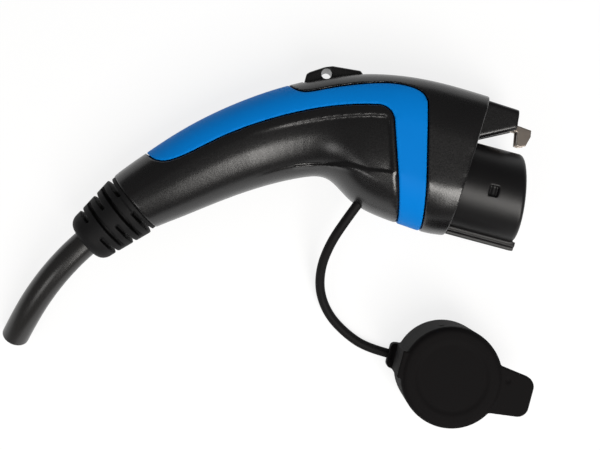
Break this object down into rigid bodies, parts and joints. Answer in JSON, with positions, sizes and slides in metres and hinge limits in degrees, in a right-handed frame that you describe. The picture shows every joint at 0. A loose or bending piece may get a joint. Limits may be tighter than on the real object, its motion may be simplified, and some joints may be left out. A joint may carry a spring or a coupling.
{
  "type": "electric vehicle charging connector",
  "caption": "Handheld electric vehicle charging connector with a keyed round nozzle, latch hook, release button, cable stub and tethered dust cap.",
  "frame": {"origin": "where the nozzle's axis meets the plane of its rim", "axes": "+X is the way the nozzle points into the inlet, +Y is up when the connector is held, +Z is up as it lies on its side"},
  "size_m": [0.2648, 0.1826, 0.053],
  "materials": {
    "handle_black": "satin moulded plastic",
    "accent_blue": "satin moulded plastic",
    "nozzle_black": "smooth satin plastic",
    "switch_black": "moulded plastic",
    "board_green": "printed circuit board",
    "seal_rubber": "soft rubber",
    "boot_rubber": "matt rubber",
    "cable_rubber": "satin cable sheath",
    "cap_rubber": "matt moulded rubber",
    "strap_rubber": "matt rubber",
    "hook_steel": "folded sheet steel",
    "spring_steel": "spring wire",
    "screw_steel": "plain steel",
    "contact_silver": "silver plated",
    "core_brown": "core insulation",
    "core_blue": "core insulation",
    "core_green": "core insulation, green and yellow on the real one",
    "core_white": "core insulation"
  },
  "bodies": {
    "connector": {"handle_shell_near": "handle_black", "handle_shell_far": "handle_black", "front_shroud": "handle_black", "accent_band": "accent_blue", "nozzle": "nozzle_black", "contact_carrier": "nozzle_black", "nozzle_seal": "seal_rubber", "latch_pivot_pin": "hook_steel", "latch_spring": "spring_steel", "microswitch": "switch_black", "circuit_board": "board_green", "cable_clamp": "handle_black", "strain_relief_boot": "boot_rubber", "cable_inner": "cable_rubber", "cable_free": "cable_rubber", "dust_cap": "cap_rubber", "cap_strap": "strap_rubber", "strap_anchor": "strap_rubber", "core_line": "core_brown", "core_neutral": "core_blue", "core_earth": "core_green", "core_pilot": "core_white", "core_proximity": "core_white", "contact_line": "contact_silver", "contact_neutral": "contact_silver", "contact_earth": "contact_silver", "contact_pilot": "contact_silver", "contact_proximity": "contact_silver", "clamp_screw_1": "screw_steel", "clamp_screw_2": "screw_steel", "housing_screw_1": "screw_steel", "housing_screw_2": "screw_steel", "housing_screw_3": "screw_steel", "housing_screw_4": "screw_steel", "housing_screw_5": "screw_steel"},
    "latch": {"latch_lever": "nozzle_black", "latch_hook": "hook_steel", "release_button": "handle_black"}
  },
  "joints": [
    {"name": "latch_pivot", "type": "hinge", "parent": "connector", "child": "latch", "pos_m": [-0.055, 0.036, 0], "axis": [0, 0, 1], "range_deg": [0, 5], "stiffness_Nm_per_rad": 1.2, "springref_deg": -20.05, "deforming": ["latch_spring"]}
  ]
}
